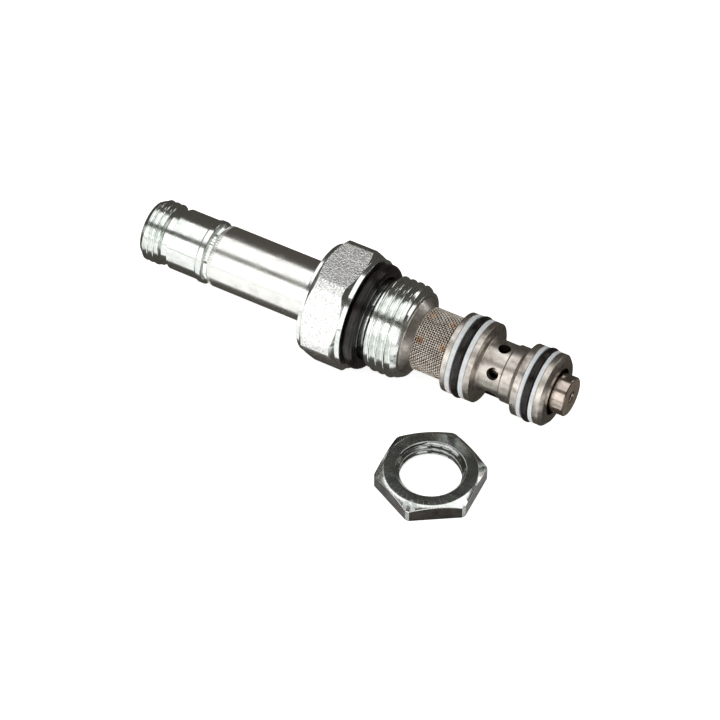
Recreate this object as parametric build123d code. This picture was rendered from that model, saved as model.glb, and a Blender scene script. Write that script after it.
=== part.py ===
from build123d import *
import math
import os

# Solenoid cartridge valve, size 08, three ports, spool type, shown without its coil, with its coil nut
# lying beside it. Millimetres. +X runs along the valve from the coil end to the nose, +Z is up. The
# origin is on the valve's axis, in the plane of the shoulder that seats on the manifold. The valve
# lies on one flat of its hexagon. A station is a distance along X from that shoulder.

# ------------------------------------------------------------------ driving sizes: hexagonal body
HEX_ACROSS_FLATS = 22.2
HEX_CORNER_TRIM = 0.467          # radial, turned off each sharp corner
HEX_LENGTH = 9.3
WASHER_FACE_INSET = 0.05         # radial, inside the flats
WASHER_FACE_LENGTH = 0.9
BACK_COLLAR_INSET = 0.25         # radial, inside the flats
BACK_COLLAR_LENGTH = 0.7
FRONT_CHAMFER_LENGTH = 0.75
BACK_CHAMFER_LENGTH = 1.1

# ------------------------------------------------------------------ driving sizes: cavity thread 3/4-16
CAVITY_THREAD_DIAMETER = 18.95
CAVITY_THREAD_PITCH = 1.5875
CAVITY_THREAD_DEPTH = 0.9
UNDERCUT_LENGTH = 3.9
CAVITY_THREAD_LENGTH = 6.4
NOSE_CHAMFER_LENGTH = 0.63
NOSE_FACE_DROP = 0.075           # radial, below the thread's root

# ------------------------------------------------------------------ driving sizes: shoulder O-ring
SHOULDER_RING_OUTER_DIAMETER = 21.1
SHOULDER_RING_SECTION = 2.62

# ------------------------------------------------------------------ driving sizes: cage
COLLAR_DIAMETER = 15.2
COLLAR_SEAT_LENGTH = 1.5
COLLAR_CONE_LENGTH = 1.6
SPIGOT_DIAMETER = 13.8
SPIGOT_SETBACK = 2.5
SCREEN_LENGTH = 7.15
SCREEN_DIAMETER = 12.6
SCREEN_THICKNESS = 0.3
SCREEN_SEAT_LENGTH = 0.9
SCREEN_SPACE_DEPTH = 0.35
UPPER_LAND_DIAMETER = 15.8
UPPER_REAR_FLANGE_LENGTH = 1.04
UPPER_FRONT_FLANGE_LENGTH = 1.22
UPPER_RING_PROUD = 0.27          # radial, above its land
UPPER_RING_SECTION = 1.78
UPPER_BACKUP_THICKNESS = 0.98
NECK_DIAMETER = 10.66
NECK_LENGTH = 4.88
NECK_FILLET = 0.35
STEP_RISE = 0.32                 # radial, above the neck, with a 45 degree start
STEP_LENGTH = 3.25
LOWER_LAND_DIAMETER = 14.2
LOWER_REAR_FLANGE_LENGTH = 1.34
LOWER_FRONT_FLANGE_LENGTH = 1.15
LOWER_RING_PROUD = 0.3           # radial, above its land
LOWER_RING_SECTION = 1.6
LOWER_BACKUP_THICKNESS = 0.84
END_CHAMFER_LENGTH = 0.75
END_CHAMFER_DEPTH = 0.85         # radial, below the lower land
BACKUP_PROUD = 0.03
SIDE_PORT_COUNT = 6
SIDE_PORT_DIAMETER = 2.4
SIDE_PORT_SETBACK = 3.2
SIDE_PORT_ANGLE = 5.0
SCREEN_PORT_DIAMETER = 2.6
PORT_GALLERY_WIDTH = 3.0
PORT_GALLERY_DEPTH = 0.5
MOUTH_RECESS_WIDTH = 0.75        # radial, round the spool where it comes out
MOUTH_RECESS_DEPTH = 1.0
REAR_CHAMBER_DEPTH = 0.7         # radial, round the cage's bore
REAR_CHAMBER_LENGTH = 7.5

# ------------------------------------------------------------------ driving sizes: spool
SPOOL_DIAMETER = 7.74
SPOOL_STANDOUT = 2.8
SPOOL_TAIL_SETBACK = 4.5
SPOOL_BORE_DIAMETER = 3.2
SPOOL_SOCKET_WALL = 1.49         # solid steel between the rod's socket and the bore
SPOOL_END_WALL = 1.5
SPOOL_ORIFICE_DIAMETER = 2.0
SPOOL_WAIST_DIAMETER = 5.8
SPOOL_WAIST_LEAD = 0.905         # how far the waist reaches behind the screen ports' centres
SPOOL_WAIST_TRAIL = 1.64         # how far it reaches past the side ports' centres
SPOOL_CROSS_HOLE_DIAMETER = 1.6
SPOOL_CROSS_HOLE_SETBACK = 1.2
SPOOL_CROSS_HOLE_COUNT = 4
SPOOL_CROSS_HOLE_ANGLE = 45
SPOOL_TAIL_RELIEF = 0.37         # radial, below the running diameter
SPOOL_TAIL_LENGTH = 10.4
SPOOL_EDGE = 0.2
STROKE = 2.2

# ------------------------------------------------------------------ driving sizes: pull rod and pin
ROD_DIAMETER = 2.8
ROD_SOCKET_LENGTH = 6.5
ROD_HEAD_DIAMETER = 4.6
ROD_HEAD_LENGTH = 1.5
ROD_HEAD_SETBACK = 5.4
PIN_DIAMETER = 1.0
PIN_SETBACK = 3.2
RETAINER_THICKNESS = 0.8
RETAINER_DEPTH = 0.35
ROD_HEAD_CLEARANCE = 0.4         # radial, so that the rod centres itself

# ------------------------------------------------------------------ driving sizes: coil tube
TUBE_DIAMETER = 12.3
TUBE_WALL = 0.8
TUBE_EXPOSED_LENGTH = 22.4
TUBE_LIP_LENGTH = 0.35
TUBE_LIP_DROP = 0.4              # radial, how far the lip is rolled in
TUBE_LIP_ROUNDING = 0.7          # the share of that drop left at the lip's middle
TUBE_FOOT_STEP = 0.2             # radial, from the tube down to its foot in the body
TUBE_RING_SECTION = 1.2
TUBE_RING_SETBACK = 2.6
STOP_WASHER_THICKNESS = 1.0
STOP_WASHER_CLEARANCE = 1.1      # radial, round the rod, for the oil

# ------------------------------------------------------------------ driving sizes: end plug
CRIMP_GROOVE_LENGTH = 0.95
CRIMP_GROOVE_DEPTH = 0.65        # radial, below the tube
BEAD_PROUD = 0.225               # radial, above the tube
BEAD_LENGTH = 1.4
BEAD_EDGE = 0.25
BARREL_UNDERSIZE = 0.025         # radial, below the tube, so that the coil slides on
BARREL_LENGTH = 6.4
RELIEF_DEPTH = 0.65              # radial, below the tube
RELIEF_LENGTH = 1.5
COIL_THREAD_DIAMETER = 12.6
COIL_THREAD_PITCH = 1.27
COIL_THREAD_DEPTH = 0.72
COIL_THREAD_LENGTH = 3.9
TAIL_CHAMFER_LENGTH = 0.9
TAIL_FACE_DROP = 0.13            # radial, below the thread's root
POLE_LENGTH = 8.0
PLUG_RING_SECTION = 1.3
PLUG_RING_SETBACK = 2.6
SHIM_THICKNESS = 0.4
SHIM_BORE_CLEARANCE = 0.3        # radial, outside the spring's well

# ------------------------------------------------------------------ driving sizes: armature and spring
SPRING_WELL_CLEARANCE = 0.3      # radial, round the spring
POLE_WELL_DEPTH = 5.5
ARMATURE_WELL_DEPTH = 5.5
ARMATURE_EDGE = 0.4
ARMATURE_SLOT_WIDTH = 1.4
ARMATURE_SLOT_DEPTH = 0.9
SPRING_WIRE = 0.5
SPRING_OUTER_DIAMETER = 4.4
SPRING_TURNS = 8

# ------------------------------------------------------------------ driving sizes: coil nut
NUT_ACROSS_FLATS = 18.6
NUT_CORNER_TRIM = 0.17           # radial, turned off each sharp corner
NUT_THICKNESS = 3.5
NUT_THREAD_BITE = 0.5            # radial, how far the nut's thread reaches inside the coil thread
NUT_MOUTH_CLEARANCE = 0.4        # radial, from the coil thread to the countersink's rim
NUT_COUNTERSINK_DEPTH = 0.5
NUT_FACE_INSET = 0.5             # radial, inside the flats, on the chamfered face
NUT_CHAMFER_DEPTH = 0.95
NUT_PLACE_X = 25.8
NUT_PLACE_Y = -22.24
NUT_TURN = 4.0

# ------------------------------------------------------------------ clearances
FIT_GAP = 0.03         # radial, between pieces that are pressed, crimped or located in each other
SLIDE_GAP = 0.05       # radial, round the armature
SPOOL_GAP = 0.03       # radial, round the spool
END_GAP = 0.3          # axial, between a moving piece and the stop it comes near
RING_GAP = 0.02        # between a seal and the walls of its groove
SPRING_END_GAP = 0.2   # axial, between the spring and the bottom of each well
JOIN_OVERLAP = 0.1     # how far two shapes of one piece run into each other where they are joined
CUT_MARGIN = 1.0       # how far a cutting shape runs past the face that it cuts

# ------------------------------------------------------------------ stations along the valve
back_face = -HEX_LENGTH
nose_face = UNDERCUT_LENGTH + CAVITY_THREAD_LENGTH + NOSE_CHAMFER_LENGTH
spigot_start = -SPIGOT_SETBACK
collar_start = nose_face - COLLAR_SEAT_LENGTH
collar_end = nose_face + COLLAR_CONE_LENGTH
upper_start = collar_end + SCREEN_LENGTH
upper_groove = upper_start + UPPER_REAR_FLANGE_LENGTH
upper_groove_length = 2 * UPPER_BACKUP_THICKNESS + UPPER_RING_SECTION + 4 * RING_GAP
upper_front = upper_groove + upper_groove_length
upper_end = upper_front + UPPER_FRONT_FLANGE_LENGTH
neck_end = upper_end + NECK_LENGTH
lower_start = neck_end + STEP_LENGTH
lower_groove = lower_start + LOWER_REAR_FLANGE_LENGTH
lower_groove_length = 2 * LOWER_BACKUP_THICKNESS + LOWER_RING_SECTION + 4 * RING_GAP
lower_front = lower_groove + lower_groove_length
lower_end = lower_front + LOWER_FRONT_FLANGE_LENGTH
end_face = lower_end + END_CHAMFER_LENGTH
side_ports = upper_end + SIDE_PORT_SETBACK
screen_ports = collar_end + SCREEN_LENGTH / 2

spool_end = end_face + SPOOL_STANDOUT
spool_tail = spigot_start + SPOOL_TAIL_SETBACK
rod_tip = spool_tail + ROD_SOCKET_LENGTH
pin_station = spool_tail + PIN_SETBACK

washer_start = spigot_start - STOP_WASHER_THICKNESS
tube_front = washer_start
tube_ring = tube_front - TUBE_RING_SETBACK
tube_lip = back_face - TUBE_EXPOSED_LENGTH
tube_rear = tube_lip - TUBE_LIP_LENGTH
bead_front = tube_rear - CRIMP_GROOVE_LENGTH
bead_rear = bead_front - BEAD_LENGTH
barrel_rear = bead_rear - BARREL_LENGTH
relief_rear = barrel_rear - RELIEF_LENGTH
thread_rear = relief_rear - COIL_THREAD_LENGTH
tail_face = thread_rear - TAIL_CHAMFER_LENGTH
pole_face = tube_lip + POLE_LENGTH
plug_ring = tube_lip + PLUG_RING_SETBACK
shim_front = pole_face + SHIM_THICKNESS
armature_rear = shim_front + STROKE + END_GAP
armature_front = washer_start - END_GAP
rod_head_front = armature_front - ROD_HEAD_SETBACK
rod_head_rear = rod_head_front - ROD_HEAD_LENGTH
retainer_rear = rod_head_front + END_GAP
retainer_front = retainer_rear + RETAINER_THICKNESS
pocket_end = rod_head_rear - END_GAP

# ------------------------------------------------------------------ radii that several pieces share
tube_outer_r = TUBE_DIAMETER / 2
tube_inner_r = tube_outer_r - TUBE_WALL
plug_r = tube_inner_r - FIT_GAP
armature_r = tube_inner_r - SLIDE_GAP
spool_r = SPOOL_DIAMETER / 2
spool_tail_r = spool_r - SPOOL_TAIL_RELIEF
cage_bore_r = spool_r + SPOOL_GAP
spigot_r = SPIGOT_DIAMETER / 2
collar_r = COLLAR_DIAMETER / 2
socket_r = tube_outer_r - TUBE_FOOT_STEP
rod_r = ROD_DIAMETER / 2
rod_head_r = ROD_HEAD_DIAMETER / 2
pocket_r = rod_head_r + ROD_HEAD_CLEARANCE
well_r = SPRING_OUTER_DIAMETER / 2 + SPRING_WELL_CLEARANCE
coil_crest_r = COIL_THREAD_DIAMETER / 2
screen_inner_r = SCREEN_DIAMETER / 2 - SCREEN_THICKNESS
screen_seat_r = screen_inner_r - FIT_GAP
gallery_r = cage_bore_r + PORT_GALLERY_DEPTH
floor_z = -HEX_ACROSS_FLATS / 2
undercut_r = SHOULDER_RING_OUTER_DIAMETER / 2 - SHOULDER_RING_SECTION - RING_GAP
upper_ring_r = UPPER_LAND_DIAMETER / 2 + UPPER_RING_PROUD
upper_floor_r = upper_ring_r - UPPER_RING_SECTION - RING_GAP
lower_ring_r = LOWER_LAND_DIAMETER / 2 + LOWER_RING_PROUD
lower_floor_r = lower_ring_r - LOWER_RING_SECTION - RING_GAP
plug_floor_r = tube_inner_r - RING_GAP - PLUG_RING_SECTION - RING_GAP
body_ring_r = socket_r + TUBE_RING_SECTION + 2 * RING_GAP


# ------------------------------------------------------------------ shapes that several pieces use
def turned(outline):
    """A solid turned about the X axis from a closed outline of (station, radius) points."""
    return revolve(make_face(Polyline(*outline, close=True)), axis=Axis.X, revolution_arc=360)


def collar(start, end, outer_r, inner_r):
    """A plain ring, or a plain rod where the inner radius is zero."""
    return turned([(start, inner_r), (start, outer_r), (end, outer_r), (end, inner_r)])


def o_ring(station, outer_r, section):
    """A round seal whose outside stands at outer_r."""
    ring = Torus(outer_r - section / 2, section / 2)
    return Pos(station, 0, 0) * Rot(0, 90, 0) * ring


def hexagon_corner_r(across_flats):
    """The radius to the sharp corners of a hexagon."""
    return across_flats / math.sqrt(3)


def hexagon(start, end, across_flats):
    """A hexagonal bar along X, with a flat facing down."""
    outline = RegularPolygon(across_flats / 2, 6, major_radius=False)
    return extrude(Plane.YZ.offset(start) * outline, end - start)


def ridges(start, end, pitch, crest_r, root_r):
    """The outline of thread ridges between two stations, with whole turns centred between them."""
    turns = int((end - start) / pitch)
    first = start + (end - start - turns * pitch) / 2
    points = []
    for turn in range(turns):
        x = first + turn * pitch
        points.append((x + pitch / 8, root_r))
        points.append((x + pitch * 7 / 16, crest_r))
        points.append((x + pitch * 9 / 16, crest_r))
        points.append((x + pitch * 7 / 8, root_r))
    return points


def radial_hole(station, diameter, reach, angle):
    """A drill along a radius, at an angle from +Z towards -Y, out to the reach."""
    drill = Cylinder(diameter / 2, reach, align=(Align.CENTER, Align.CENTER, Align.MIN))
    return Pos(station, 0, 0) * Rot(angle, 0, 0) * drill


def drilled(solid, station, diameter, reach, count, first_angle):
    """The solid with holes drilled all round at one station."""
    for number in range(count):
        angle = first_angle + number * 360 / count
        solid = solid - radial_hole(station, diameter, reach, angle)
    return solid


# ------------------------------------------------------------------ body group
def hex_body():
    corner_r = hexagon_corner_r(HEX_ACROSS_FLATS) - HEX_CORNER_TRIM
    washer_r = HEX_ACROSS_FLATS / 2 - WASHER_FACE_INSET
    back_r = HEX_ACROSS_FLATS / 2 - BACK_COLLAR_INSET
    flats_rear = back_face + BACK_COLLAR_LENGTH
    flats_front = -WASHER_FACE_LENGTH
    bar = hexagon(flats_rear, flats_front, HEX_ACROSS_FLATS)
    envelope = turned([
        (flats_rear, 0),
        (flats_rear, back_r),
        (flats_rear + BACK_CHAMFER_LENGTH, corner_r),
        (flats_front - FRONT_CHAMFER_LENGTH, corner_r),
        (flats_front, washer_r),
        (flats_front, 0),
    ])
    crest_r = CAVITY_THREAD_DIAMETER / 2
    root_r = crest_r - CAVITY_THREAD_DEPTH
    thread_end = UNDERCUT_LENGTH + CAVITY_THREAD_LENGTH
    thread = ridges(UNDERCUT_LENGTH, thread_end, CAVITY_THREAD_PITCH, crest_r, root_r)
    shank = turned([
        (flats_front - JOIN_OVERLAP, 0),
        (flats_front - JOIN_OVERLAP, root_r),
        (flats_front, washer_r),
        (0, washer_r),
        (0, undercut_r),
        (UNDERCUT_LENGTH, undercut_r),
        (UNDERCUT_LENGTH, root_r),
        *thread,
        (thread_end, root_r),
        (nose_face, root_r - NOSE_FACE_DROP),
        (nose_face, 0),
    ])
    back = collar(back_face, flats_rear + JOIN_OVERLAP, back_r, 0)
    bore = turned([
        (back_face - CUT_MARGIN, 0),
        (back_face - CUT_MARGIN, socket_r + FIT_GAP),
        (tube_ring - TUBE_RING_SECTION / 2 - RING_GAP, socket_r + FIT_GAP),
        (tube_ring - TUBE_RING_SECTION / 2 - RING_GAP, body_ring_r),
        (tube_ring + TUBE_RING_SECTION / 2 + RING_GAP, body_ring_r),
        (tube_ring + TUBE_RING_SECTION / 2 + RING_GAP, socket_r + FIT_GAP),
        (spigot_start, socket_r + FIT_GAP),
        (spigot_start, spigot_r + FIT_GAP),
        (collar_start, spigot_r + FIT_GAP),
        (collar_start, collar_r + FIT_GAP),
        (nose_face + CUT_MARGIN, collar_r + FIT_GAP),
        (nose_face + CUT_MARGIN, 0),
    ])
    return (bar & envelope) + back + shank - bore


def shoulder_o_ring():
    station = SHOULDER_RING_SECTION / 2 + RING_GAP
    return o_ring(station, SHOULDER_RING_OUTER_DIAMETER / 2, SHOULDER_RING_SECTION)


def cage():
    land_r = UPPER_LAND_DIAMETER / 2
    low_r = LOWER_LAND_DIAMETER / 2
    neck_r = NECK_DIAMETER / 2
    cone_r = SCREEN_DIAMETER / 2
    space_r = screen_seat_r - SCREEN_SPACE_DEPTH
    solid = turned([
        (spigot_start, cage_bore_r),
        (spigot_start, spigot_r),
        (collar_start, spigot_r),
        (collar_start, collar_r),
        (nose_face, collar_r),
        (collar_end, cone_r),
        (collar_end, screen_seat_r),
        (collar_end + SCREEN_SEAT_LENGTH, screen_seat_r),
        (collar_end + SCREEN_SEAT_LENGTH, space_r),
        (upper_start - SCREEN_SEAT_LENGTH, space_r),
        (upper_start - SCREEN_SEAT_LENGTH, screen_seat_r),
        (upper_start, screen_seat_r),
        (upper_start, land_r),
        (upper_groove, land_r),
        (upper_groove, upper_floor_r),
        (upper_front, upper_floor_r),
        (upper_front, land_r),
        (upper_end, land_r),
        (upper_end, neck_r + NECK_FILLET),
        (upper_end + NECK_FILLET, neck_r),
        (neck_end, neck_r),
        (neck_end + STEP_RISE, neck_r + STEP_RISE),
        (lower_start, neck_r + STEP_RISE),
        (lower_start, low_r),
        (lower_groove, low_r),
        (lower_groove, lower_floor_r),
        (lower_front, lower_floor_r),
        (lower_front, low_r),
        (lower_end, low_r),
        (end_face, low_r - END_CHAMFER_DEPTH),
        (end_face, cage_bore_r + MOUTH_RECESS_WIDTH),
        (end_face - MOUTH_RECESS_DEPTH, cage_bore_r + MOUTH_RECESS_WIDTH),
        (end_face - MOUTH_RECESS_DEPTH, cage_bore_r),
    ])
    chamber_r = cage_bore_r + REAR_CHAMBER_DEPTH
    half = PORT_GALLERY_WIDTH / 2
    solid = solid - collar(spigot_start - CUT_MARGIN, spigot_start + REAR_CHAMBER_LENGTH, chamber_r, 0)
    solid = solid - collar(screen_ports - half, screen_ports + half, gallery_r, 0)
    solid = solid - collar(side_ports - half, side_ports + half, gallery_r, 0)
    reach = cone_r + CUT_MARGIN
    solid = drilled(solid, side_ports, SIDE_PORT_DIAMETER, reach, SIDE_PORT_COUNT, -SIDE_PORT_ANGLE)
    return drilled(solid, screen_ports, SCREEN_PORT_DIAMETER, reach, SIDE_PORT_COUNT, 0)


def filter_screen():
    start = collar_end + RING_GAP
    end = upper_start - RING_GAP
    return collar(start, end, SCREEN_DIAMETER / 2, screen_inner_r)


def backup_ring(groove_start, thickness, land_diameter, floor_r):
    """A flat ring that stands just proud of its land and starts a hair inside its groove."""
    start = groove_start + RING_GAP
    outer_r = land_diameter / 2 + BACKUP_PROUD
    return collar(start, start + thickness, outer_r, floor_r + RING_GAP)


def upper_backup_ring_rear():
    return backup_ring(upper_groove, UPPER_BACKUP_THICKNESS, UPPER_LAND_DIAMETER, upper_floor_r)


def upper_backup_ring_front():
    start = upper_front - UPPER_BACKUP_THICKNESS - 2 * RING_GAP
    return backup_ring(start, UPPER_BACKUP_THICKNESS, UPPER_LAND_DIAMETER, upper_floor_r)


def upper_o_ring():
    station = upper_groove + upper_groove_length / 2
    return o_ring(station, upper_ring_r, UPPER_RING_SECTION)


def lower_backup_ring_rear():
    return backup_ring(lower_groove, LOWER_BACKUP_THICKNESS, LOWER_LAND_DIAMETER, lower_floor_r)


def lower_backup_ring_front():
    start = lower_front - LOWER_BACKUP_THICKNESS - 2 * RING_GAP
    return backup_ring(start, LOWER_BACKUP_THICKNESS, LOWER_LAND_DIAMETER, lower_floor_r)


def lower_o_ring():
    station = lower_groove + lower_groove_length / 2
    return o_ring(station, lower_ring_r, LOWER_RING_SECTION)


# ------------------------------------------------------------------ spool group
def spool():
    bore_r = SPOOL_BORE_DIAMETER / 2
    waist_r = SPOOL_WAIST_DIAMETER / 2
    orifice_r = SPOOL_ORIFICE_DIAMETER / 2
    waist_start = screen_ports - SPOOL_WAIST_LEAD
    waist_end = side_ports + SPOOL_WAIST_TRAIL
    socket_end = rod_tip + END_GAP
    bore_start = socket_end + SPOOL_SOCKET_WALL
    bore_end = spool_end - SPOOL_END_WALL
    solid = turned([
        (spool_tail, rod_r + FIT_GAP),
        (spool_tail, spool_tail_r - SPOOL_EDGE),
        (spool_tail + SPOOL_EDGE, spool_tail_r),
        (spool_tail + SPOOL_TAIL_LENGTH, spool_tail_r),
        (spool_tail + SPOOL_TAIL_LENGTH, spool_r),
        (waist_start, spool_r),
        (waist_start, waist_r),
        (waist_end, waist_r),
        (waist_end, spool_r),
        (spool_end - SPOOL_EDGE, spool_r),
        (spool_end, spool_r - SPOOL_EDGE),
        (spool_end, orifice_r + SPOOL_EDGE),
        (spool_end - SPOOL_EDGE, orifice_r),
        (bore_end, orifice_r),
        (bore_end, bore_r),
        (bore_start, bore_r),
        (bore_start, 0),
        (socket_end, 0),
        (socket_end, rod_r + FIT_GAP),
    ])
    cross_station = bore_start + SPOOL_CROSS_HOLE_SETBACK
    reach = spool_r + CUT_MARGIN
    solid = drilled(solid, cross_station, SPOOL_CROSS_HOLE_DIAMETER, reach, SPOOL_CROSS_HOLE_COUNT,
                    SPOOL_CROSS_HOLE_ANGLE)
    return drilled(solid, pin_station, PIN_DIAMETER + 2 * FIT_GAP, reach, 2, 0)


def pull_rod():
    solid = turned([
        (rod_head_rear, 0),
        (rod_head_rear, rod_head_r),
        (rod_head_front, rod_head_r),
        (rod_head_front, rod_r),
        (rod_tip, rod_r),
        (rod_tip, 0),
    ])
    return drilled(solid, pin_station, PIN_DIAMETER + 2 * FIT_GAP, rod_r + CUT_MARGIN, 2, 0)


def cross_pin():
    length = 2 * (spool_tail_r - SPOOL_EDGE)
    return Pos(pin_station, 0, 0) * Cylinder(PIN_DIAMETER / 2, length)


# ------------------------------------------------------------------ armature group
def armature():
    well_end = armature_rear + ARMATURE_WELL_DEPTH
    retainer_r = pocket_r + RETAINER_DEPTH + FIT_GAP
    solid = turned([
        (well_end, 0),
        (well_end, well_r),
        (armature_rear, well_r),
        (armature_rear, armature_r - ARMATURE_EDGE),
        (armature_rear + ARMATURE_EDGE, armature_r),
        (armature_front - ARMATURE_EDGE, armature_r),
        (armature_front, armature_r - ARMATURE_EDGE),
        (armature_front, pocket_r),
        (retainer_front + FIT_GAP, pocket_r),
        (retainer_front + FIT_GAP, retainer_r),
        (retainer_rear - FIT_GAP, retainer_r),
        (retainer_rear - FIT_GAP, pocket_r),
        (pocket_end, pocket_r),
        (pocket_end, 0),
    ])
    length = armature_front - armature_rear + 2 * CUT_MARGIN
    middle = (armature_front + armature_rear) / 2
    slot = Box(length, ARMATURE_SLOT_WIDTH, 2 * ARMATURE_SLOT_DEPTH)
    for side in (-1, 1):
        solid = solid - Pos(middle, 0, side * armature_r) * slot
    return solid


def rod_retaining_ring():
    outer_r = pocket_r + RETAINER_DEPTH
    return collar(retainer_rear, retainer_front, outer_r, rod_r + END_GAP)


def return_spring():
    start = pole_face - POLE_WELL_DEPTH + SPRING_END_GAP + SPRING_WIRE / 2
    end = armature_rear + ARMATURE_WELL_DEPTH - SPRING_END_GAP - SPRING_WIRE / 2
    mean_r = (SPRING_OUTER_DIAMETER - SPRING_WIRE) / 2
    pitch = (end - start) / SPRING_TURNS
    path = Helix(pitch, end - start, mean_r)
    section = Plane(path @ 0, z_dir=path % 0) * Circle(SPRING_WIRE / 2)
    coil = sweep(section, path=path, is_frenet=True)
    return Pos(start, 0, 0) * Rot(0, 90, 0) * coil


# ------------------------------------------------------------------ tube group
def guide_tube():
    outer_r = tube_outer_r
    lip_r = outer_r - TUBE_LIP_DROP
    return turned([
        (tube_rear, tube_inner_r),
        (tube_rear, lip_r),
        (tube_rear + TUBE_LIP_LENGTH / 2, lip_r + TUBE_LIP_DROP * TUBE_LIP_ROUNDING),
        (tube_lip, outer_r),
        (back_face, outer_r),
        (back_face, socket_r),
        (tube_front, socket_r),
        (tube_front, tube_inner_r),
    ])


def tube_o_ring():
    outer_r = body_ring_r - RING_GAP
    return o_ring(tube_ring, outer_r, TUBE_RING_SECTION)


def stop_washer():
    return collar(washer_start, spigot_start, socket_r, rod_r + STOP_WASHER_CLEARANCE)


def end_plug():
    bead_r = tube_outer_r + BEAD_PROUD
    root_r = coil_crest_r - COIL_THREAD_DEPTH
    barrel_r = tube_outer_r - BARREL_UNDERSIZE
    relief_r = tube_outer_r - RELIEF_DEPTH
    groove_r = tube_outer_r - CRIMP_GROOVE_DEPTH
    half_groove = PLUG_RING_SECTION / 2 + RING_GAP
    thread = ridges(thread_rear, relief_rear, COIL_THREAD_PITCH, coil_crest_r, root_r)
    return turned([
        (tail_face, 0),
        (tail_face, root_r - TAIL_FACE_DROP),
        (thread_rear, root_r),
        *thread,
        (relief_rear, root_r),
        (relief_rear, relief_r),
        (barrel_rear, relief_r),
        (barrel_rear, barrel_r),
        (bead_rear, barrel_r),
        (bead_rear + BEAD_EDGE, bead_r),
        (bead_front - BEAD_EDGE, bead_r),
        (bead_front, bead_r - BEAD_EDGE),
        (bead_front, groove_r),
        (tube_rear - FIT_GAP, groove_r),
        (tube_rear - FIT_GAP, plug_r),
        (plug_ring - half_groove, plug_r),
        (plug_ring - half_groove, plug_floor_r),
        (plug_ring + half_groove, plug_floor_r),
        (plug_ring + half_groove, plug_r),
        (pole_face, plug_r),
        (pole_face, well_r),
        (pole_face - POLE_WELL_DEPTH, well_r),
        (pole_face - POLE_WELL_DEPTH, 0),
    ])


def plug_o_ring():
    return o_ring(plug_ring, tube_inner_r - RING_GAP, PLUG_RING_SECTION)


def shim_washer():
    return collar(pole_face, shim_front, plug_r - FIT_GAP, well_r + SHIM_BORE_CLEARANCE)


# ------------------------------------------------------------------ coil nut, lying flat beside the valve
def coil_nut():
    outline = RegularPolygon(NUT_ACROSS_FLATS / 2, 6, major_radius=False, rotation=30)
    bar = extrude(outline, NUT_THICKNESS)
    face_r = NUT_ACROSS_FLATS / 2 - NUT_FACE_INSET
    corner_r = hexagon_corner_r(NUT_ACROSS_FLATS) - NUT_CORNER_TRIM
    bore_r = coil_crest_r - NUT_THREAD_BITE
    sink_r = coil_crest_r + NUT_MOUTH_CLEARANCE
    profile = [
        (bore_r, NUT_COUNTERSINK_DEPTH),
        (sink_r, 0),
        (corner_r, 0),
        (corner_r, NUT_THICKNESS - NUT_CHAMFER_DEPTH),
        (face_r, NUT_THICKNESS),
        (sink_r, NUT_THICKNESS),
        (bore_r, NUT_THICKNESS - NUT_COUNTERSINK_DEPTH),
    ]
    face = make_face(Plane.XZ * Polyline(*profile, close=True))
    envelope = revolve(face, axis=Axis.Z, revolution_arc=360)
    return Pos(NUT_PLACE_X, NUT_PLACE_Y, floor_z) * Rot(0, 0, NUT_TURN) * (bar & envelope)


PIECES = (
    end_plug,
    plug_o_ring,
    guide_tube,
    tube_o_ring,
    shim_washer,
    return_spring,
    armature,
    rod_retaining_ring,
    pull_rod,
    cross_pin,
    stop_washer,
    hex_body,
    shoulder_o_ring,
    cage,
    filter_screen,
    upper_backup_ring_rear,
    upper_o_ring,
    upper_backup_ring_front,
    lower_backup_ring_rear,
    lower_o_ring,
    lower_backup_ring_front,
    spool,
    coil_nut,
)

os.makedirs("parts", exist_ok=True)
for piece in PIECES:
    export_step(piece(), f"parts/{piece.__name__}.step")
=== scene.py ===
import math

import bmesh
import bpy
from mathutils import Matrix, Vector


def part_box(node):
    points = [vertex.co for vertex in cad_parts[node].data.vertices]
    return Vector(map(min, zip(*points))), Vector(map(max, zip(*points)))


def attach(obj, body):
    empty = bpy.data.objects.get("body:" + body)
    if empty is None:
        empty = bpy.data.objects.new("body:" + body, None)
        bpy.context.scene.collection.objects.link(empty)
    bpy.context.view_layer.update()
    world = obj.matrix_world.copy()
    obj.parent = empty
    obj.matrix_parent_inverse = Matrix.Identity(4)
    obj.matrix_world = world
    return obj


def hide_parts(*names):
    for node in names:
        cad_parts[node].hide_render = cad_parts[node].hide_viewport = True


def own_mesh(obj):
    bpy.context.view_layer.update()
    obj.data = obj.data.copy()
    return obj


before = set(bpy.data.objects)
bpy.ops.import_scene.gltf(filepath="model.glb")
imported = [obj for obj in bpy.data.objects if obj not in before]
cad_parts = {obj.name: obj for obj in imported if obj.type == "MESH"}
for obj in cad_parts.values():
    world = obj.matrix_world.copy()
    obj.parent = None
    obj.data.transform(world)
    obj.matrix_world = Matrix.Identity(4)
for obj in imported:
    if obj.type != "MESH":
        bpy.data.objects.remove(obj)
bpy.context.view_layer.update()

# Lengths are in millimetres in the same frame as the CAD, and become metres where a mesh is made.
# X runs along the valve, and a column of a turned piece is named by its angle from +Y towards +Z.
MM = 0.001
COLUMNS = 144
EDGE = 0.1            # the small radius on every machined edge


def span(node):
    """The first and last station of a CAD node along X, in millimetres."""
    low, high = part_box(node)
    return low.x / MM, high.x / MM


def radius(node):
    """The largest radius of a turned CAD node about the X axis, in millimetres."""
    low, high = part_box(node)
    return (high.z - low.z) / 2 / MM


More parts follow.
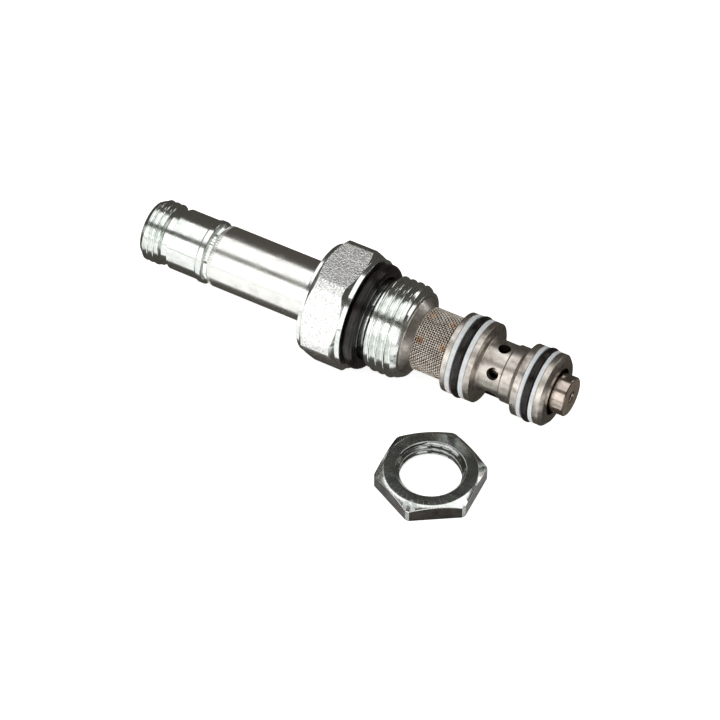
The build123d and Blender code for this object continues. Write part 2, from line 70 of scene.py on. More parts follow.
# ------------------------------------------------------------------ stations and radii from the CAD
TAIL, POLE = span("end_plug")
TUBE_REAR, TUBE_FRONT = span("guide_tube")
HEX_BACK, NOSE = span("hex_body")
CAGE_START, END_FACE = span("cage")
SPOOL_TAIL, SPOOL_END = span("spool")
SCREEN_START, SCREEN_END = span("filter_screen")
UPPER_RINGS = span("upper_backup_ring_rear")[0], span("upper_backup_ring_front")[1]
LOWER_RINGS = span("lower_backup_ring_rear")[0], span("lower_backup_ring_front")[1]
TUBE_R = radius("guide_tube")
BEAD_R = radius("end_plug")
SPOOL_R = radius("spool")
FLAT_R = radius("hex_body")
SCREEN_R = radius("filter_screen")
NUT_LOW, NUT_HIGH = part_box("coil_nut")
FLOOR_Z = NUT_LOW.z

# ------------------------------------------------------------------ detail sizes
HEX_CORNER_R = 12.3
WASHER_R, WASHER_STATION = 11.03, -0.9
BACK_COLLAR_R, BACK_COLLAR_STATION = 10.85, -8.6
FRONT_CHAMFER_RUN, BACK_CHAMFER_RUN = 0.58, 0.75     # along the axis for each millimetre of radius
UNDERCUT_R, UNDERCUT_END = 7.9, 3.4
BODY_BORE_R = 6.0
COLLAR_R, COLLAR_SEAT_LENGTH = 7.6, 1.5
SPIGOT_R = 6.9
PRESS_GAP = 0.03
MAIN_PITCH, MAIN_CREST_R, MAIN_ROOT_R = 1.5875, 9.46, 8.5
MAIN_THREAD = 3.9, 10.25
MAIN_CREST_STATION = 4.69
TAIL_PITCH, TAIL_CREST_R, TAIL_ROOT_R = 1.27, 6.3, 5.6
TAIL_THREAD = -46.2, -42.3
TAIL_CREST_STATION = -45.54
CREST_ANGLE = math.radians(39)       # the column in which the crest stations above are true
CREST_FLAT, FLANK_SHARE = 0.1, 0.72  # of half a pitch: half of the flat crest, and one flank
ROWS_PER_TURN = 22
NUT_THICKNESS = (NUT_HIGH.z - NUT_LOW.z) / MM
NUT_FLAT_R = 9.3
NUT_CORNER_R = 10.55
NUT_TURN = math.radians(4)
NUT_BORE_R = 5.82


# ------------------------------------------------------------------ mesh code
def rounded(points, size=EDGE, steps=3):
    """An open outline with each of its inner corners rounded off."""
    out = [points[0]]
    for before, corner, after in zip(points, points[1:], points[2:]):
        a = Vector((before[0] - corner[0], before[1] - corner[1]))
        b = Vector((after[0] - corner[0], after[1] - corner[1]))
        reach = min(size, a.length * 0.45, b.length * 0.45)
        a, b = a.normalized() * reach, b.normalized() * reach
        for step in range(steps + 1):
            t = step / steps
            back, ahead = (1 - t) ** 2, t ** 2
            out.append((corner[0] + a.x * back + b.x * ahead, corner[1] + a.y * back + b.y * ahead))
    out.append(points[-1])
    return out


def stand_in(mesh, node, body):
    """An object with this mesh that rides on a body in place of a CAD node."""
    obj = bpy.data.objects.new(node + "_detail", mesh)
    bpy.context.scene.collection.objects.link(obj)
    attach(obj, body)
    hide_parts(node)
    return obj


def finish_mesh(mesh, node, body, sharp=40):
    """Shades a mesh smooth up to a corner angle, and lets it stand for a CAD node."""
    mesh.validate()
    bm = bmesh.new()
    bm.from_mesh(mesh)
    bmesh.ops.remove_doubles(bm, verts=bm.verts, dist=2e-7)
    bmesh.ops.recalc_face_normals(bm, faces=bm.faces)
    bm.to_mesh(mesh)
    bm.free()
    mesh.shade_smooth()
    mesh.set_sharp_from_angle(angle=math.radians(sharp))
    obj = stand_in(mesh, node, body)
    weighted = obj.modifiers.new("weighted", "WEIGHTED_NORMAL")
    weighted.keep_sharp = True
    return obj


def skin(columns, closed=True):
    """Vertices and faces of a turned shape. A column is an angle and an outline of stations and radii."""
    rows = len(columns[0][1])
    verts = []
    for angle, outline in columns:
        across, up = math.cos(angle), math.sin(angle)
        verts += [(x * MM, r * across * MM, r * up * MM) for x, r in outline]
    faces = []
    for column in range(len(columns)):
        here, there = column * rows, (column + 1) % len(columns) * rows
        for row in range(rows if closed else rows - 1):
            ahead = (row + 1) % rows
            faces.append((here + row, there + row, there + ahead, here + ahead))
    return verts, faces


def new_mesh(node, verts, faces):
    mesh = bpy.data.meshes.new(node + "_detail")
    mesh.from_pydata(verts, [], faces)
    return mesh


def turned_mesh(node, outline_at, angles, closed=True):
    """A mesh whose outline may differ from column to column."""
    verts, faces = skin([(angle, outline_at(angle)) for angle in angles], closed)
    return new_mesh(node, verts, faces)


def even_angles(count=COLUMNS):
    return [number * math.tau / count for number in range(count)]


def lathe(outline, node, body, closed=True):
    """A plain turned piece."""
    mesh = turned_mesh(node, lambda angle: outline, even_angles(), closed)
    return finish_mesh(mesh, node, body)


def thread_rows(start, end, pitch, crest_r, root_r, crest_station, envelope, angle):
    """One column of a right-hand thread: its radius at close stations, held under an envelope."""
    count = round((end - start) / pitch * ROWS_PER_TURN)
    rows = []
    for number in range(count + 1):
        x = start + (end - start) * number / count
        turn = (x - crest_station) / pitch - (angle - CREST_ANGLE) / math.tau
        away = abs(turn - round(turn)) * 2
        fall = min(max((away - CREST_FLAT) / FLANK_SHARE, 0), 1)
        fall = (fall + fall * fall * (3 - 2 * fall)) / 2
        limit = between(x, envelope)
        rows.append((x, min(crest_r - (crest_r - root_r) * fall, limit)))
    return rows


def between(x, points):
    """Straight lines through points, read at x."""
    for (x0, y0), (x1, y1) in zip(points, points[1:]):
        if x <= x1:
            return y0 + (y1 - y0) * max(x - x0, 0) / (x1 - x0)
    return points[-1][1]


def wire_faces(first, stations, sides, loop):
    """The faces of a wire whose corners were laid station by station, from the corner numbered first."""
    faces = []
    for index in range(stations if loop else stations - 1):
        here, there = first + index * sides, first + (index + 1) % stations * sides
        for number in range(sides):
            after = (number + 1) % sides
            faces.append((here + number, there + number, there + after, here + after))
    if not loop:
        last = first + (stations - 1) * sides
        faces.append(tuple(first + number for number in range(sides)))
        faces.append(tuple(last + number for number in reversed(range(sides))))
    return faces


def hex_section(flat_r, corner_r, first_flat, edge=0.25, per_flat=7):
    """Angles and radii round a hexagon whose corners are turned down to a circle."""
    half = math.acos(flat_r / corner_r)
    points = []
    for flat in range(6):
        middle = first_flat + flat * math.pi / 3
        side = flat_r * math.tan(half)
        for number in range(per_flat):
            along = side * (2 * number / (per_flat - 1) - 1)
            points.append(Matrix.Rotation(middle, 2) @ Vector((flat_r, along)))
        gap = math.pi / 3 - 2 * half
        for number in (1, 2, 3):
            angle = middle + half + gap * number / 4
            points.append(Vector((corner_r * math.cos(angle), corner_r * math.sin(angle))))
    loop = [tuple(p) for p in points]
    smooth = rounded(loop[-1:] + loop + loop[:1], edge, 2)[1:-1]
    return [(math.atan2(y, x), math.hypot(x, y)) for x, y in smooth]


# ------------------------------------------------------------------ material nodes
class Nodes:
    """A short way to write a shader's nodes."""

    def __init__(self, name):
        self.material = bpy.data.materials.new(name)
        self.material.use_nodes = True
        self.tree = self.material.node_tree
        self.shader = self.tree.nodes["Principled BSDF"]
        self.place = self.add("ShaderNodeTexCoord").outputs["Object"]

    def add(self, kind, **inputs):
        node = self.tree.nodes.new(kind)
        for key, value in inputs.items():
            self.feed(node.inputs[key.replace("_", " ")], value)
        return node

    def feed(self, socket, value):
        if isinstance(value, bpy.types.NodeSocket):
            self.tree.links.new(value, socket)
        else:
            socket.default_value = value

    def scaled(self, x, y, z):
        """Object coordinates stretched along each axis."""
        node = self.add("ShaderNodeMapping", Vector=self.place, Scale=(x, y, z))
        return node.outputs["Vector"]

    def noise(self, where, scale, detail=3.0, rough=0.5):
        node = self.add("ShaderNodeTexNoise", Vector=where, Scale=scale, Detail=detail, Roughness=rough)
        return node.outputs["Fac"]

    def ramp(self, value, low, high, from_low=0.35, from_high=0.65):
        """A value spread between two others, or between two colours."""
        node = self.add("ShaderNodeValToRGB", Fac=value)
        node.color_ramp.elements[0].position = from_low
        node.color_ramp.elements[1].position = from_high
        node.color_ramp.elements[0].color = low if len(low) == 4 else (*low, 1)
        node.color_ramp.elements[1].color = high if len(high) == 4 else (*high, 1)
        return node.outputs["Color"]

    def grey(self, value, low, high, from_low=0.35, from_high=0.65):
        return self.ramp(value, (low,) * 3, (high,) * 3, from_low, from_high)

    def bump(self, height, strength, distance, normal=None):
        node = self.add("ShaderNodeBump", Height=height, Strength=strength, Distance=distance)
        if normal is not None:
            self.feed(node.inputs["Normal"], normal)
        return node.outputs["Normal"]

    def mix(self, share, low, high):
        node = self.tree.nodes.new("ShaderNodeMix")
        node.data_type = "RGBA"
        self.feed(node.inputs["Factor"], share)
        self.feed(node.inputs[6], low)
        self.feed(node.inputs[7], high)
        return node.outputs[2]

    def set(self, **inputs):
        for key, value in inputs.items():
            self.feed(self.shader.inputs[key.replace("_", " ")], value)
        return self.material


def plated(name, light, dark, smooth, rough, rings=0.25, grain=0.15):
    """Turned steel under bright zinc: faint rings round the axis, and soft cloudy patches."""
    n = Nodes(name)
    ring = n.noise(n.scaled(9000, 60, 60), 1.0, 4.0, 0.6)
    cloud = n.noise(n.place, 420.0, 4.0, 0.6)
    fine = n.noise(n.place, 3800.0, 3.0, 0.6)
    dimple = n.noise(n.place, 1500.0, 2.0, 0.5)
    streak = n.noise(n.scaled(150, 1500, 1500), 1.0, 3.0)
    colour = n.mix(n.grey(streak, 0.0, 0.6), n.ramp(cloud, dark, light), (*light, 1))
    normal = n.bump(ring, rings, 0.00002)
    normal = n.bump(fine, grain, 0.00002, normal)
    normal = n.bump(dimple, grain, 0.00006, normal)
    return n.set(Base_Color=colour, Metallic=1.0, Roughness=n.grey(cloud, rough, smooth), Normal=normal)


def tumbled(name):
    """The grainy hexagon flats of the plated body."""
    n = Nodes(name)
    grain = n.noise(n.place, 2500.0, 3.0, 0.7)
    cloud = n.noise(n.place, 260.0, 3.0)
    speck = n.grey(grain, 0.0, 1.0, 0.32, 0.56)
    colour = n.mix(speck, (0.55, 0.55, 0.54, 1), (0.92, 0.93, 0.91, 1))
    normal = n.bump(grain, 1.0, 0.00017)
    normal = n.bump(cloud, 0.25, 0.0002, normal)
    return n.set(Base_Color=colour, Metallic=1.0, Roughness=n.grey(grain, 0.25, 0.15), Normal=normal)


def rubber():
    """Black nitrile with a soft sheen, faint streaks and a little dust."""
    n = Nodes("nitrile")
    streak = n.noise(n.scaled(2500, 260, 260), 1.0, 3.0)
    ripple = n.noise(n.scaled(3800, 90, 90), 1.0, 3.0)
    fine = n.noise(n.place, 5200.0, 2.0)
    colour = n.ramp(streak, (0.003, 0.002, 0.002), (0.012, 0.008, 0.006))
    normal = n.bump(ripple, 1.0, 0.0003)
    normal = n.bump(fine, 0.2, 0.00002, normal)
    return n.set(Base_Color=colour, Roughness=n.grey(streak, 0.12, 0.26), Normal=normal,
                 Specular_IOR_Level=0.4)


def ptfe():
    """Bluish-white backup rings, a little translucent."""
    n = Nodes("ptfe")
    cloud = n.noise(n.place, 900.0, 3.0)
    colour = n.ramp(cloud, (0.62, 0.64, 0.655), (0.74, 0.76, 0.775))
    normal = n.bump(n.noise(n.scaled(7000, 200, 200), 1.0), 0.15, 0.00002)
    return n.set(Base_Color=colour, Roughness=0.38, Normal=normal, Subsurface_Weight=0.15,
                 Subsurface_Scale=0.0006)


def turned_steel(name, dark, light, smooth, rough, rings=0.4):
    """Bare turned steel, browned here and there, with cutting rings."""
    n = Nodes(name)
    ring = n.noise(n.scaled(7000, 40, 40), 1.0, 5.0, 0.65)
    cloud = n.noise(n.place, 330.0, 4.0, 0.6)
    stain = n.noise(n.scaled(500, 900, 900), 1.0, 3.0)
    colour = n.mix(n.grey(stain, 0.0, 0.7), n.ramp(cloud, dark, light), (*light, 1))
    normal = n.bump(ring, rings, 0.00003)
    normal = n.bump(n.noise(n.place, 4200.0), 0.12, 0.00002, normal)
    return n.set(Base_Color=colour, Metallic=1.0, Roughness=n.grey(cloud, rough, smooth), Normal=normal)


def wire():
    """Browned screen wire, with coppery patches where the overlap is spot-welded."""
    n = Nodes("screen_wire")
    spot = n.add("ShaderNodeAttribute")
    spot.attribute_name = "weld"
    cloud = n.noise(n.place, 800.0, 3.0)
    plain = n.ramp(cloud, (0.58, 0.52, 0.46), (0.82, 0.77, 0.70))
    copper = n.ramp(cloud, (0.34, 0.22, 0.15), (0.72, 0.54, 0.42))
    colour = n.mix(spot.outputs["Fac"], plain, copper)
    return n.set(Base_Color=colour, Metallic=1.0, Roughness=n.grey(cloud, 0.24, 0.36),
                 Normal=n.bump(cloud, 0.1, 0.00002))


def plain_metal(name, dark, light, roughness):
    """Finish of a piece inside the valve."""
    n = Nodes(name)
    cloud = n.noise(n.place, 600.0, 3.0)
    ring = n.noise(n.scaled(6000, 60, 60), 1.0, 3.0)
    return n.set(Base_Color=n.ramp(cloud, dark, light), Metallic=1.0, Roughness=roughness,
                 Normal=n.bump(ring, 0.3, 0.00002))


MATERIALS = {
    "body": plated("zinc_turned", (0.86, 0.89, 0.86), (0.60, 0.64, 0.61), 0.13, 0.22),
    "tube": plated("zinc_tube", (0.88, 0.88, 0.85), (0.72, 0.73, 0.70), 0.20, 0.28, 0.15, 0.10),
    "flats": tumbled("zinc_tumbled"),
    "nut": plated("zinc_nut", (0.42, 0.44, 0.42), (0.17, 0.19, 0.17), 0.10, 0.20, 0.05, 0.12),
    # The nut's sides get a nearly black steel colour: painted dark reflection, standing in for the shaded
    # table they mirror.
    "nut_side": turned_steel("nut_side_painted_dark", (0.012, 0.010, 0.008), (0.05, 0.044, 0.038), 0.28, 0.42),
    "rubber": rubber(),
    "ptfe": ptfe(),
    "cage": turned_steel("cage_steel", (0.20, 0.17, 0.145), (0.66, 0.62, 0.565), 0.26, 0.46),
    "shaded": turned_steel("cage_in_shade", (0.03, 0.024, 0.02), (0.06, 0.05, 0.042), 0.45, 0.6),
    "spool": turned_steel("spool_steel", (0.34, 0.285, 0.24), (0.58, 0.51, 0.45), 0.14, 0.24, 0.2),
    # The spool's end face: a rougher turned finish, which is real, and a much lighter colour than the
    # spool's steel, which is painted light.
    "spool_face": turned_steel("spool_end_turned_painted_light", (0.62, 0.51, 0.41), (0.82, 0.71, 0.60), 0.50, 0.62),
    "wire": wire(),
    "core": plain_metal("core_iron", (0.40, 0.40, 0.41), (0.58, 0.58, 0.58), 0.35),
    "spring": plain_metal("spring_steel", (0.35, 0.35, 0.36), (0.50, 0.50, 0.51), 0.3),
    "brass": plain_metal("brass_sheet", (0.60, 0.42, 0.18), (0.80, 0.62, 0.30), 0.28),
}


def dress(obj, *names):
    """Gives an object its finishes, the first one everywhere."""
    obj.data.materials.clear()
    for name in names:
        obj.data.materials.append(MATERIALS[name])
    return obj


# ------------------------------------------------------------------ the valve's pieces
def end_plug():
    """Threaded tail, relief, barrel, bead and serrated crimp groove, with the pole inside the tube."""
    teeth, tooth_depth = 56, 0.18
    face_r = 5.4
    barrel_r = TUBE_R - 0.03
    relief_r = 5.5
    relief_start, barrel_start = -42.2, -40.8
    plug_r = 5.32
    well_r, well_depth = 2.5, 5.5
    bead_start, bead_end, bead_edge = -34.4, -33.0, 0.2
    envelope = [(TAIL, 5.35), (-46.25, 6.2), (-46.0, 6.32), (-42.75, 6.32), (-42.3, 5.5)]

    def outline(angle):
        thread = thread_rows(*TAIL_THREAD, TAIL_PITCH, TAIL_CREST_R, TAIL_ROOT_R, TAIL_CREST_STATION,
                             envelope, angle)
        tooth = abs(angle * teeth / math.tau % 1 * 2 - 1)
        notch_r = plug_r + 0.2 - tooth_depth * tooth
        rear = rounded([(TAIL, 0), (TAIL, face_r), (TAIL + 0.85, TAIL_ROOT_R + 0.3), thread[0]])
        front = rounded([
            thread[-1],
            (relief_start, relief_r),
            (barrel_start, relief_r),
            (barrel_start, barrel_r),
            (bead_start, barrel_r),
            (bead_start + bead_edge, BEAD_R),
            (bead_end - bead_edge, BEAD_R),
            (bead_end, BEAD_R - 0.25),
            (bead_end + 0.1, notch_r),
            (TUBE_REAR - 0.25, notch_r),
            (TUBE_REAR - 0.05, plug_r),
            (POLE, plug_r),
            (POLE, well_r),
            (POLE - well_depth, well_r),
            (POLE - well_depth, 0),
        ])
        return rear[:-1] + thread + front[1:]

    mesh = turned_mesh("end_plug", outline, even_angles(teeth * 4), closed=False)
    return dress(finish_mesh(mesh, "end_plug", "valve_body"), "body")


def guide_tube():
    """The smooth coil tube, its rear end crimped into the plug's groove with a row of fine marks."""
    marks, depth = 84, 0.26
    inner_r, foot_r = 5.35, 5.95
    inset = 8                # the outline starts and ends on the bore's wall, this far in

    def outline(angle):
        dent = depth * max(abs(angle * marks / math.tau % 1 * 2 - 1) * 2 - 1, 0)
        return rounded([
            (TUBE_REAR + inset, inner_r),
            (TUBE_REAR, inner_r),
            (TUBE_REAR, 5.7 - dent / 2),
            (TUBE_REAR + 0.12, 5.98 - dent),
            (TUBE_REAR + 0.35, TUBE_R - dent),
            (TUBE_REAR + 0.85, TUBE_R - dent),
            (TUBE_REAR + 1.0, TUBE_R),
            (HEX_BACK, TUBE_R),
            (HEX_BACK, foot_r),
            (TUBE_FRONT, foot_r),
            (TUBE_FRONT, inner_r),
            (TUBE_FRONT - inset, inner_r),
        ], 0.08)

    mesh = turned_mesh("guide_tube", outline, even_angles(marks * 4))
    return dress(finish_mesh(mesh, "guide_tube", "valve_body"), "tube")


def denser(section, widest):
    """A section with more angles on its straight runs, so that no two are further apart than widest."""
    section_r = {}
    for (angle, r), (after, r_after) in zip(section, section[1:] + section[:1]):
        section_r[angle] = r
        extra = int((after - angle) % math.tau / widest)
        a = Vector((r * math.cos(angle), r * math.sin(angle)))
        b = Vector((r_after * math.cos(after), r_after * math.sin(after)))
        for number in range(extra):
            point = a.lerp(b, (number + 1) / (extra + 1))
            section_r[math.atan2(point.y, point.x)] = point.length
    return section_r


def hex_body():
    """Hexagon with turned chamfers, washer face, undercut and the 3/4-16 thread."""
    thread_start, thread_end = MAIN_THREAD
    envelope = [
        (thread_start, MAIN_ROOT_R),
        (4.35, MAIN_CREST_R),
        (9.1, MAIN_CREST_R),
        (NOSE, MAIN_ROOT_R),
    ]
    section_r = denser(hex_section(FLAT_R, HEX_CORNER_R, math.radians(30)), math.radians(3.2))

    def outline(angle):
        r = section_r[angle]
        back = BACK_COLLAR_STATION + (r - BACK_COLLAR_R) * BACK_CHAMFER_RUN
        front = WASHER_STATION - (r - WASHER_R) * FRONT_CHAMFER_RUN
        thread = thread_rows(thread_start, thread_end, MAIN_PITCH, MAIN_CREST_R, MAIN_ROOT_R,
                             MAIN_CREST_STATION, envelope, angle)
        rear = rounded([
            (CAGE_START, BODY_BORE_R),
            (HEX_BACK, BODY_BORE_R),
            (HEX_BACK, BACK_COLLAR_R),
            (BACK_COLLAR_STATION, BACK_COLLAR_R),
            (back, r),
            (front, r),
            (WASHER_STATION, WASHER_R),
            (0, WASHER_R),
            (0, UNDERCUT_R),
            (UNDERCUT_END, UNDERCUT_R),
            thread[0],
        ])
        nose = rounded([
            thread[-1],
            (NOSE, MAIN_ROOT_R),
            (NOSE, COLLAR_R + PRESS_GAP),
            (NOSE - COLLAR_SEAT_LENGTH, COLLAR_R + PRESS_GAP),
            (NOSE - COLLAR_SEAT_LENGTH, SPIGOT_R + PRESS_GAP),
            (CAGE_START, SPIGOT_R + PRESS_GAP),
        ])
        return rear[:-1] + thread + nose[1:]

    mesh = turned_mesh("hex_body", outline, list(section_r))
    obj = dress(finish_mesh(mesh, "hex_body", "valve_body"), "body", "flats")
    for face in obj.data.polygons:
        x = face.center.x / MM
        sideways = abs(face.normal.x) < 0.3
        on_flat = math.hypot(face.center.y, face.center.z) / MM > FLAT_R - 0.05
        if sideways and on_flat and BACK_COLLAR_STATION < x < WASHER_STATION:
            face.material_index = 1
    return obj


def o_ring(node):
    """A round seal, sized by its CAD node."""
    low, high = span(node)
    section_r = (high - low) / 2
    centre_x, centre_r = (high + low) / 2, radius(node) - section_r
    count = 28
    outline = []
    for number in range(count):
        turn = number * math.tau / count
        outline.append((centre_x + section_r * math.cos(turn), centre_r + section_r * math.sin(turn)))
    return dress(lathe(outline, node, "valve_body"), "rubber")


def backup_ring(node, floor_r):
    """A flat ring with softened edges, sized by its CAD node."""
    low, high = span(node)
    outer_r = radius(node)
    middle = (low + high) / 2
    outline = rounded([(middle, floor_r), (low, floor_r), (low, outer_r), (high, outer_r),
                       (high, floor_r), (middle, floor_r)], 0.16)[:-1]
    return dress(lathe(outline, node, "valve_body"), "ptfe")


def drill(obj, station, first_angle, diameter, count):
    """Cuts a ring of radial holes through a turned piece."""
    length, r = 8 * MM, diameter / 2 * MM
    bm = bmesh.new()
    for number in range(count):
        angle = first_angle + number * math.tau / count
        direction = Vector((0, math.cos(angle), math.sin(angle)))
        turn = direction.to_track_quat("Z", "X").to_matrix().to_4x4()
        place = Matrix.Translation(Vector((station * MM, 0, 0)) + direction * length / 2) @ turn
        bmesh.ops.create_cone(bm, cap_ends=True, segments=40, radius1=r, radius2=r, depth=length,
                              matrix=place)
    mesh = bpy.data.meshes.new("drills")
    bm.to_mesh(mesh)
    bm.free()
    tool = bpy.data.objects.new("drills", mesh)
    bpy.context.scene.collection.objects.link(tool)
    cut = obj.modifiers.new("ports", "BOOLEAN")
    cut.operation, cut.object, cut.solver = "DIFFERENCE", tool, "EXACT"
    obj.modifiers.move(len(obj.modifiers) - 1, 0)
    bpy.context.view_layer.update()
    result = bpy.data.meshes.new_from_object(obj.evaluated_get(bpy.context.evaluated_depsgraph_get()))
    obj.modifiers.remove(cut)
    obj.data = result
    result.set_sharp_from_angle(angle=math.radians(40))
    bpy.data.objects.remove(tool)


def cage():
    """The turned nose: collar cone, screen seat, two lands with their grooves, neck, step and ports."""
    gap = 0.02
    bore_r = SPOOL_R + 0.03
    chamber_r, chamber_end = 4.6, 5
    upper_land_r, lower_land_r = 7.9, 7.1
    upper_floor_r, lower_floor_r = 6.37, 5.78
    core_r, seat_rise, seat_length = 5.62, 0.35, 0.5
    seat_r = core_r + seat_rise
    upper_face, lower_face = 25.76, 33.89        # the lands' faces towards the neck
    neck_r, neck_start, neck_end, fillet = 5.33, 26.1, 30.64, 0.42
    step_r, step_start, step_end = 5.65, 30.9, 32.9
    cone_r = 6.5
    end_chamfer_start, end_face_r = 39.74, 6.25
    mouth_r, mouth_depth = bore_r + 0.75, 1
    port_station, port_diameter, port_angle = 28.97, 2.4, math.radians(85.8)
    outline = rounded([
        (chamber_end, bore_r),
        (chamber_end, chamber_r),
        (CAGE_START, chamber_r),
        (CAGE_START, SPIGOT_R),
        (NOSE - COLLAR_SEAT_LENGTH, SPIGOT_R),
        (NOSE - COLLAR_SEAT_LENGTH, COLLAR_R),
        (NOSE + gap, COLLAR_R),
        (SCREEN_START - gap, SCREEN_R),
        (SCREEN_START - gap, seat_r),
        (SCREEN_START + seat_length, seat_r),
        (SCREEN_START + seat_length, core_r),
        (SCREEN_END - seat_length, core_r),
        (SCREEN_END - seat_length, seat_r),
        (SCREEN_END + gap, seat_r),
        (SCREEN_END + gap, upper_land_r),
        (UPPER_RINGS[0] - gap, upper_land_r),
        (UPPER_RINGS[0] - gap, upper_floor_r),
        (UPPER_RINGS[1] + gap, upper_floor_r),
        (UPPER_RINGS[1] + gap, upper_land_r),
        (upper_face, upper_land_r),
        (upper_face, neck_r + fillet),
        (neck_start, neck_r),
        (neck_end, neck_r),
        (step_start, step_r),
        (step_end, step_r),
        (lower_face - 0.01, cone_r),
        (lower_face, lower_land_r),
        (LOWER_RINGS[0] - gap, lower_land_r),
        (LOWER_RINGS[0] - gap, lower_floor_r),
        (LOWER_RINGS[1] + gap, lower_floor_r),
        (LOWER_RINGS[1] + gap, lower_land_r),
        (end_chamfer_start, lower_land_r),
        (END_FACE, end_face_r),
        (END_FACE, mouth_r),
        (END_FACE - mouth_depth, mouth_r),
        (END_FACE - mouth_depth, bore_r),
        (20, bore_r),
    ], 0.12)
    obj = lathe(outline, "cage", "valve_body")
    dress(obj, "cage", "shaded")
    drill(obj, port_station, port_angle, port_diameter, 6)
    for face in obj.data.polygons:
        station, away = face.center.x / MM, math.hypot(face.center.y, face.center.z) / MM
        under_screen = SCREEN_START < station < SCREEN_END and core_r - 0.1 < away < SCREEN_R - 0.2
        in_port = neck_start + 0.4 < station < step_start + 0.1 and away < neck_r - 0.08
        in_mouth = END_FACE - mouth_depth - 0.1 < station < END_FACE - 0.1 and away < mouth_r + 0.03
        if under_screen or in_port or in_mouth:
            face.material_index = 1
    return obj


# Where the screen is spot-welded: stations in millimetres, and angles in degrees.
WELDS = (
    (13.7, 82), (13.7, 135), (18.4, 134), (18.3, 87),
    (13.8, 205), (18.2, 210), (13.7, 330), (18.3, 20),
)


def filter_screen():
    """Plain weave of round wire round the cage, pressed together where it is spot-welded."""
    wires, hoops, sides = 92, 17, 6
    steps_along, steps_round = 5, 4              # for each crossing of the weave
    wire_r, weave = 0.09, 0.09
    weld_reach, weld_edge, weld_spread = 1.0, 2.2, 0.7
    mean_r = SCREEN_R - wire_r - weave
    verts, faces, weld = [], [], []

    def pressed(x, angle):
        """How flat the wire is pressed at a place, from 0 to 1."""
        best = 0
        for station, degrees in WELDS:
            turn = (angle - math.radians(degrees) + math.pi) % math.tau - math.pi
            away = math.hypot(x - station, turn * mean_r) / weld_reach
            best = max(best, 1 - away)
        return min(best * weld_edge, 1)

    def tube(points, loop):
        """A wire of round section along points given as station, angle and radius."""
        first = len(verts)
        for x, angle, r in points:
            out = Vector((0, math.cos(angle), math.sin(angle)))
            side = Vector((0, -math.sin(angle), math.cos(angle))) if not loop else Vector((1, 0, 0))
            centre = Vector((x, 0, 0)) + out * r
            amount = pressed(x, angle)
            for number in range(sides):
                turn = number * math.tau / sides
                swell = wire_r * (1 + weld_spread * amount)
                p = centre + (side * math.cos(turn) * swell + out * math.sin(turn) * wire_r)
                verts.append(p * MM)
                weld.append(amount)
        faces.extend(wire_faces(first, len(points), sides, loop))

    start, end = SCREEN_START + wire_r, SCREEN_END - wire_r
    for number in range(wires):
        angle = number * math.tau / wires
        points = []
        for step in range(hoops * steps_along + 1):
            share = step / (hoops * steps_along)
            x = start + (end - start) * share
            lift = weave * math.cos(math.pi * (share * (hoops - 1) + number))
            points.append((x, angle, mean_r + lift))
        tube(points, False)
    for number in range(hoops):
        x = start + (end - start) * number / (hoops - 1)
        points = []
        for step in range(wires * steps_round):
            angle = step * math.tau / (wires * steps_round)
            lift = -weave * math.cos(math.pi * (step / steps_round + number))
            points.append((x, angle, mean_r + lift))
        tube(points, True)
    mesh = new_mesh("filter_screen", verts, faces)
    layer = mesh.attributes.new("weld", "FLOAT", "POINT")
    layer.data.foreach_set("value", weld)
    mesh.shade_smooth()
    return dress(stand_in(mesh, "filter_screen", "valve_body"), "wire")


def spool():
    """The ground spool, with the small vent in its end."""
    socket_r, socket_end = 1.43, 8.8
    tail_r, tail_end = 3.5, 12.4
    waist_r, waist_start, waist_end = 2.9, 15.2, 30.6
    bore_r, bore_length = 1.6, 33
    vent_r, vent_rim_r, end_wall = 0.98, 1.25, 1.5
    edge = 0.2
    outline = rounded([
        (socket_end, 0),
        (socket_end, socket_r),
        (SPOOL_TAIL, socket_r),
        (SPOOL_TAIL, tail_r),
        (tail_end, tail_r),
        (tail_end, SPOOL_R),
        (waist_start, SPOOL_R),
        (waist_start, waist_r),
        (waist_end, waist_r),
        (waist_end, SPOOL_R),
        (SPOOL_END - edge, SPOOL_R),
        (SPOOL_END, SPOOL_R - edge),
        (SPOOL_END, vent_rim_r),
        (SPOOL_END - 0.3, vent_r),
        (SPOOL_END - end_wall, vent_r),
        (SPOOL_END - end_wall, bore_r),
        (SPOOL_END - bore_length, bore_r),
        (SPOOL_END - bore_length, 0),
    ], 0.08)
    obj = lathe(outline, "spool", "spool", closed=False)
    dress(obj, "spool", "spool_face")
    for face in obj.data.polygons:
        # The end face takes the lighter steel: its rougher finish is real, its extra brightness is
        # painted light.
        if face.center.x / MM > SPOOL_END - 0.05 and face.normal.x > 0.9:
            face.material_index = 1
    return obj


